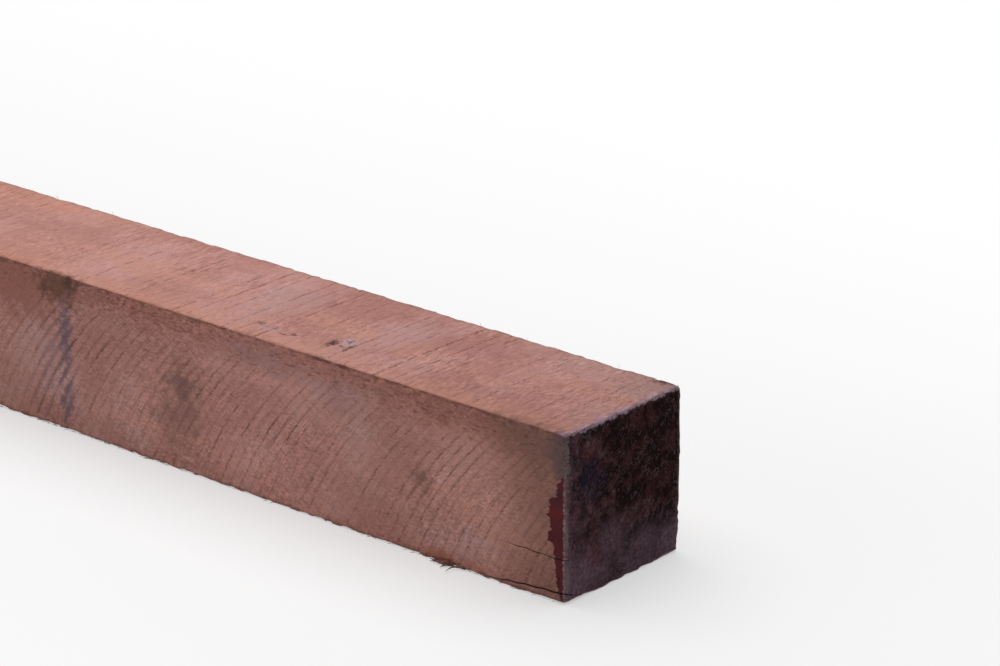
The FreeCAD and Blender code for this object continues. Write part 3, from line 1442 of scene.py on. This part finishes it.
@dataclass
class LooseFibres:
    """Fibres that the saws tore loose: thin tapered spikes joined in one piece.

    The single fibres are placed by root, middle and tip in millimetres.
    """

    name: str
    tufts: tuple[Tuft, ...] = ()
    single: tuple[tuple[Triple, Triple, Triple], ...] = ()
    single_thickness: tuple[float, ...] = ()
    floor: float = 0.0
    stations: int = 6
    sides: int = 5
    taper: float = 0.8
    bends: np.ndarray = field(init=False, repr=False)
    widths: np.ndarray = field(init=False, repr=False)

    def __post_init__(self) -> None:
        """Gather the drawn and the placed fibres."""
        drawn = [tuft.bends() for tuft in self.tufts]
        bends = [pair[0] for pair in drawn]
        widths = [pair[1] for pair in drawn]
        if self.single:
            bends.append(np.array(self.single) * MM)
            widths.append(np.array(self.single_thickness) * MM)
        self.bends = np.concatenate(bends)
        self.widths = np.concatenate(widths)

    def skin(self) -> tuple[np.ndarray, list[np.ndarray]]:
        """Carry a small ring along each bend, with a point at both ends.

        The path is the quadratic curve (1-t)2 A + 2t(1-t) B + t2 C, and the ring's radius falls
        as (1 - t) to the taper.

        Returns:
            The points, and the four-sided and three-sided faces.
        """
        count = len(self.bends)
        t = np.linspace(0.0, 0.94, self.stations)[None, :, None]
        a, b, c = (self.bends[:, None, i] for i in range(3))
        path = (1 - t) ** 2 * a + 2 * t * (1 - t) * b + t**2 * c
        ahead = 2 * (1 - t) * (b - a) + 2 * t * (c - b)
        ahead /= np.linalg.norm(ahead, axis=2, keepdims=True)
        first = np.cross(ahead, (0.13, 0.37, 0.92))
        first /= np.linalg.norm(first, axis=2, keepdims=True)
        second = np.cross(ahead, first)
        angle = np.linspace(0.0, 2 * math.pi, self.sides, endpoint=False)[None, None, :, None]
        radius = (self.widths[:, None, None, None] / 2) * (1 - t[..., None]) ** self.taper
        ring = np.cos(angle) * first[:, :, None] + np.sin(angle) * second[:, :, None]
        rings = (path[:, :, None] + radius * ring).reshape(-1, 3)
        points = np.concatenate([rings, self.bends[:, 0], self.bends[:, 2]])
        points[:, 2] = np.maximum(points[:, 2], self.floor)
        number = np.arange(count * self.stations * self.sides).reshape(count, self.stations, self.sides)
        after = np.roll(number, -1, axis=2)
        quads = np.stack([number[:, :-1], after[:, :-1], after[:, 1:], number[:, 1:]], axis=-1).reshape(-1, 4)
        root = np.broadcast_to(len(rings) + np.arange(count)[:, None], (count, self.sides))
        tip = root + count
        start = np.stack([root, after[:, 0], number[:, 0]], axis=-1).reshape(-1, 3)
        close = np.stack([tip, number[:, -1], after[:, -1]], axis=-1).reshape(-1, 3)
        return points, [quads, np.concatenate([start, close])]

    def build(self, finish: bpy.types.Material) -> bpy.types.Object:
        """Build and dress the fibres.

        Args:
            finish: the fibres' material.

        Returns:
            The joined fibres.
        """
        points, polygons = self.skin()
        piece = new_piece(self.name, points, polygons)
        piece.data.materials.append(finish)
        return hand_over(piece)


# ---------------------------------------------------------------- studio


@dataclass(frozen=True)
class Viewpoint:
    """The camera, placed from the near lower front corner of the post."""

    lens: float = 141.14
    sensor: float = 36.0
    sight: float = 100.0
    azimuth: float = 40.70
    elevation: float = 20.47
    roll: float = 0.07
    distance: float = 1.4977
    right: float = -0.0250
    up: float = 0.1045

    def build(self, corner: Vector) -> bpy.types.Object:
        """Make the camera and let the scene use it.

        Args:
            corner: the post's near lower front corner.

        Returns:
            The camera.
        """
        turn, rise, roll = (math.radians(a) for a in (self.azimuth, self.elevation, self.roll))
        back = Vector((math.sin(turn) * math.cos(rise), -math.cos(turn) * math.cos(rise), math.sin(rise)))
        level = Vector((0.0, 0.0, 1.0)).cross(back).normalized()
        over = back.cross(level)
        right = level * math.cos(roll) + over * math.sin(roll)
        up = over * math.cos(roll) - level * math.sin(roll)
        camera = bpy.data.objects.new("camera", bpy.data.cameras.new("camera"))
        camera.data.lens = self.lens
        camera.data.sensor_width = self.sensor
        camera.data.clip_end = self.sight
        spot = corner + back * self.distance + right * self.right + up * self.up
        camera.matrix_world = Matrix((right, up, back)).transposed().to_4x4()
        camera.matrix_world.translation = spot
        bpy.context.scene.collection.objects.link(camera)
        bpy.context.scene.camera = camera
        return camera


@dataclass(frozen=True)
class Softbox:
    """One wide lamp, aimed at a place near the post."""

    name: str
    spot: Triple
    aim: Triple
    size: tuple[float, float]
    watts: float

    def build(self) -> bpy.types.Object:
        """Make the lamp and aim it.

        Returns:
            The lamp.
        """
        data = bpy.data.lights.new(self.name, "AREA")
        data.shape = "RECTANGLE"
        data.size, data.size_y = self.size
        data.energy = self.watts
        lamp = bpy.data.objects.new(self.name, data)
        lamp.location = self.spot
        lamp.rotation_euler = (Vector(self.aim) - Vector(self.spot)).to_track_quat("-Z", "Y").to_euler()
        bpy.context.scene.collection.objects.link(lamp)
        return lamp


@dataclass
class Studio:
    """A pale floor, soft lamps and an even sky."""

    lamps: tuple[Softbox, ...]
    floor_reach: float = 24.0
    sky: float = 0.16
    white: Colour = (1.0, 1.0, 1.0, 1.0)
    rings: int = 14
    spokes: int = 72

    def build_floor(self, finish: bpy.types.Material) -> bpy.types.Object:
        """Lay the floor: a round sheet whose rings grow as the square of their number.

        Args:
            finish: the floor's material.

        Returns:
            The floor.
        """
        reach = self.floor_reach * (np.arange(1, self.rings + 1) / self.rings) ** 2
        angle = np.linspace(0.0, 2 * math.pi, self.spokes, endpoint=False)
        x = reach[:, None] * np.cos(angle)
        y = reach[:, None] * np.sin(angle)
        points = np.stack([x, y, np.zeros_like(x)], axis=-1).reshape(-1, 3)
        points = np.concatenate([points, [[0.0, 0.0, 0.0]]])
        number = np.arange(self.rings * self.spokes).reshape(self.rings, self.spokes)
        after = np.roll(number, -1, axis=1)
        quads = np.stack([number[:-1], number[1:], after[1:], after[:-1]], axis=-1).reshape(-1, 4)
        hub = np.full(self.spokes, len(points) - 1)
        middle = np.stack([hub, number[0], after[0]], axis=-1)
        floor = new_piece("floor", points, [quads, middle])
        floor.data.materials.append(finish)
        return floor

    def build_sky(self) -> bpy.types.World:
        """Give the world an even light that the camera sees as white.

        Returns:
            The world.
        """
        world = bpy.data.worlds.new("even_sky")
        world.use_nodes = True
        graph = Graph(world.node_tree)
        nodes = world.node_tree.nodes
        lit = graph.fed(nodes["Background"], {"Color": self.white, "Strength": self.sky})
        seen = graph.fed(graph.node("Background"), {"Color": self.white, "Strength": 1.0})
        blend = graph.fed(graph.node("MixShader"), {0: all_seen(graph), 1: lit, 2: seen})
        graph.feed(nodes["World Output"].inputs["Surface"], blend)
        bpy.context.scene.world = world
        return world

    def build(self, finish: bpy.types.Material) -> None:
        """Set up the floor, the lamps and the sky.

        Args:
            finish: the floor's material.
        """
        self.build_floor(finish)
        for lamp in self.lamps:
            lamp.build()
        self.build_sky()
        bpy.context.scene.view_settings.view_transform = "Standard"


# ---------------------------------------------------------------- the whole


def front_stains(box: Lay) -> tuple[Stain, ...]:
    """List the stains of the sawn faces.

    Args:
        box: the post's box.

    Returns:
        The stains, in the order that they are laid on.
    """
    front = -box.half_width / MM
    top = box.height / MM
    blue = (0.140, 0.100, 0.130, 1.0)
    slate = (0.190, 0.125, 0.140, 1.0)
    moss = (0.150, 0.070, 0.048, 1.0)
    peat = (0.075, 0.045, 0.036, 1.0)
    rust = (0.240, 0.080, 0.050, 1.0)
    dark = (0.065, 0.030, 0.030, 1.0)
    bark = (0.110, 0.038, 0.030, 1.0)
    chalk = (0.560, 0.380, 0.330, 1.0)
    soot = (0.155, 0.080, 0.074, 1.0)
    plum = (0.330, 0.185, 0.190, 1.0)
    dusk = (0.170, 0.088, 0.072, 1.0)
    umber = (0.300, 0.120, 0.090, 1.0)
    ash = (0.110, 0.074, 0.073, 1.0)
    brick = (0.370, 0.135, 0.082, 1.0)
    pith = (0.510, 0.350, 0.400, 1.0)
    graze = (0.470, 0.310, 0.345, 1.0)
    blush = (0.470, 0.280, 0.270, 1.0)
    rose = (0.480, 0.275, 0.265, 1.0)
    fawn = (0.330, 0.205, 0.185, 1.0)
    coal = (0.060, 0.032, 0.034, 1.0)
    fine = Grain.FINE
    return (
        Stain((274.5, front, 44), (5.4, 9, 25), blue, 0.85, 1.8, 0.1, 0.2, fine),
        Stain((275, front, 14), (5.6, 9, 14), blue, 0.86, 2.2, 0.1, 0.4),
        Stain((282, front, 35), (10, 9, 17), slate, 0.45, 2.4, 0.0, 0.7),
        Stain((289, front, 14), (9, 9, 12), slate, 0.35, 2.4, 0.0, 0.7),
        Stain((302, front, 57), (30, 9, 18), umber, 0.80, 1.8),
        Stain((279, front, 65), (19, 5, 13), moss, 0.88, 2.2, 0.2),
        Stain((271, front, 67), (6, 5, 6), peat, 0.72, 2.4),
        Stain((287, front, 62), (6, 5, 4), peat, 0.40, 2.6),
        Stain((205, front, 38), (17, 9, 17), soot, 0.72, 1.7, 0.0),
        Stain((208, front, 20), (20, 9, 18), soot, 0.42, 2.2),
        Stain((118, front, 56), (18, 9, 9), plum, 0.40, 2.2),
        Stain((158, front, 61), (32, 9, 9), plum, 0.50, 2.4),
        Stain((16, front, 64), (40, 9, 18), dusk, 0.62, 1.6),
        Stain((3, front, 62), (9, 9, 16), ash, 0.75, 1.4),
        Stain((74, front, 32), (8, 9, 9), soot, 0.30, 3.0),
        Stain((74, front, 33), (6, 4, 8), bark, 0.34, 4.0, 0.0, 0.4, fine),
        Stain((62, front, 60), (5, 5, 3), rust, 0.55, 3.0),
        Stain((60, front, 2), (26, 5, 5), brick, 0.6, 2.4),
        Stain((115.5, front, 69.2), (4.5, 4, 1.1), bark, 0.80, 1.8, grain=fine),
        Stain((128, front, 69.2), (8, 4, 1.0), bark, 0.75, 2.0, grain=fine),
        Stain((204, front, 6.5), (3.0, 4, 1.2), chalk, 0.60, 2.0, grain=fine),
        Stain((182, front, 2), (3.0, 4, 1.2), chalk, 0.60, 2.0, grain=fine),
        Stain((130, -14, top), (4.2, 5.5, 5), pith, 0.90, 2.6, grain=fine),
        Stain((134.5, -19.5, top), (3.1, 5.2, 5), dark, 0.94, 2.8, grain=fine),
        Stain((129.5, -14, top), (1.8, 3.0, 5), dark, 0.75, 4.2, grain=fine),
        Stain((126, -20, top), (1.2, 6, 5), dark, 0.75, 4.0, grain=fine),
        Stain((129.5, -20, top), (2.4, 1.1, 5), dark, 0.60, 3.6, grain=fine),
        Stain((153, -23, top), (2.6, 1.7, 5), dark, 0.80, 3.0, grain=fine),
        Stain((157.5, -25, top), (4.4, 0.9, 5), dark, 0.70, 3.4, grain=fine),
        Stain((172, -21, top), (2.6, 2.4, 5), dark, 0.60, 4.6, grain=fine),
        Stain((164, -25, top), (8, 3, 5), graze, 0.6, 2.2),
        Stain((181, 6, top), (20, 26, 5), blush, 0.6, 2.4),
        Stain((118, 4, top), (15, 26, 5), rose, 0.6, 2.4),
        Stain((4, 26, top), (30, 20, 5), fawn, 0.5, 1.8),
        Stain((2, 35, top), (12, 6, 4), coal, 0.9, 3.0),
    )


def build_fibres(low: Vector, high: Vector) -> None:
    """Build the fibres that the saws tore loose, on the arrises and round the ends.

    Args:
        low: the post's least corner.
        high: the post's greatest corner.
    """
    dark = TornFibre("torn_fibre", (0.085, 0.035, 0.028, 1.0), (0.300, 0.150, 0.125, 1.0)).build()
    pale = TornFibre("end_fringe_fibre", (0.150, 0.105, 0.115, 1.0), (0.480, 0.370, 0.400, 1.0)).build()
    near, far, front, back, top = (place / MM for place in (high.x, low.x, low.y, high.y, high.z))
    LooseFibres(
        "torn_fibres",
        tufts=(
            Tuft((near - 2, back - 0.3, top - 0.3), (far, back - 0.3, top - 0.3), 90,
                 (-0.9, 0.25, 0.35), 0.35, 2.4, 0.16, 31),
            Tuft((near - 2, front + 0.3, 0.4), (far, front + 0.3, 0.4), 420,
                 (-0.95, -0.3, -0.05), 0.3, 2.8, 0.3, 32),
            Tuft((near - 2, front + 0.3, top - 0.4), (far, front + 0.3, top - 0.4), 110,
                 (-0.95, -0.25, 0.1), 0.25, 2.0, 0.13, 33),
            Tuft((near - 2, back - 0.3, 0.4), (far, back - 0.3, 0.4), 150,
                 (-0.95, 0.3, -0.05), 0.3, 3.0, 0.2, 34),
        ),
        single=(
            ((near - 57, front + 0.3, 1.0), (near - 62, front - 3.2, 1.0),
             (near - 69.5, front - 0.6, 0.8)),
            ((near - 60, front + 0.3, 1.0), (near - 63, front - 1.6, 1.3),
             (near - 67.5, front - 2.6, 0.5)),
            ((near - 57, front + 0.2, 1.0), (near - 60, front - 2.0, 1.1),
             (near - 60.0, front - 4.8, 0.5)),
            ((near - 51, front + 0.2, 0.9), (near - 57.5, front - 1.2, 1.6),
             (near - 55.5, front - 6.8, 0.4)),
        ),
        single_thickness=(2.2, 1.5, 1.7, 1.2),
    ).build(dark)
    LooseFibres(
        "end_fringe",
        tufts=(
            Tuft((near - 0.6, front + 2, top - 0.15), (near - 0.6, back - 1, top - 0.15),
                 420, (-0.5, 0.1, 0.25), 0.5, 2.2, 0.11, 41),
            Tuft((near - 0.5, front + 0.1, 2), (near - 0.5, front + 0.1, top - 2),
                 260, (0.1, -0.4, 0.1), 0.5, 1.1, 0.10, 42),
            Tuft((far + 0.6, front + 1, top - 0.15), (far + 0.6, back - 1, top - 0.15),
                 240, (0.5, 0.1, 0.25), 0.5, 2.0, 0.11, 43),
            Tuft((far + 0.5, back - 0.1, 2), (far + 0.5, back - 0.1, top - 2),
                 180, (-0.1, 0.4, 0.1), 0.5, 1.1, 0.10, 44),
        ),
    ).build(pale)


def main() -> None:
    """Build the camera, the post, its loose fibres and the studio."""
    logging.basicConfig(level=logging.INFO, format="%(message)s")
    low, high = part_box(NODE)
    front_low = Vector((high.x, low.y, low.z))
    Viewpoint().build(front_low)

    box = Lay((high.x - low.x) / 2, (high.y - low.y) / 2, high.z - low.z)
    blade = BladeMarks()
    cracks = (
        DryingCrack(start=4.5 * MM, fall=4.0 * MM, run=44 * MM, turn=6 * MM, half_width=0.22 * MM,
                    depth=1.0 * MM, bend=1.5, slant=0.28),
        DryingCrack(start=18.5 * MM, fall=0.1 * MM, run=33 * MM, turn=3 * MM, half_width=0.16 * MM,
                    depth=0.35 * MM, bend=1.0),
    )
    faces = SawnWood(box, blade, cracks, stains=front_stains(box)).build()
    ends = SealedEnd(box, cracks).build()
    post = Post(
        low, high, blade, cracks=cracks,
        top_cuts=CrossCuts(seed=5, deep=(50 * MM, 79 * MM, 99 * MM, 134 * MM, 164 * MM, 211 * MM)),
        under_cuts=CrossCuts(seed=8),
        knocks=(
            KnockedCorner((high.x, low.y, high.z), 7 * MM, 1.6 * MM),
            KnockedCorner((high.x, high.y, high.z), 6 * MM, 1.3 * MM),
            KnockedCorner((high.x, low.y, low.z), 5 * MM, 0.6 * MM),
            KnockedCorner((low.x, low.y, low.z), 8 * MM, 1.8 * MM),
            KnockedCorner((high.x - 52 * MM, low.y, low.z), 10 * MM, 1.0 * MM),
        ))
    post.build(faces, ends)
    build_fibres(low, high)
    Studio(lamps=(
        Softbox("overhead_softbox", (0.0, 0.25, 2.1), (0.0, 0.0, 0.0), (4.2, 2.8), 61.5),
        Softbox("front_softbox", (-0.6, -2.6, 0.9), (0.2, 0.0, 0.0), (2.6, 1.4), 14.0),
    )).build(PaleFloor().build(box.half_length))


if __name__ == "__main__":
    main()
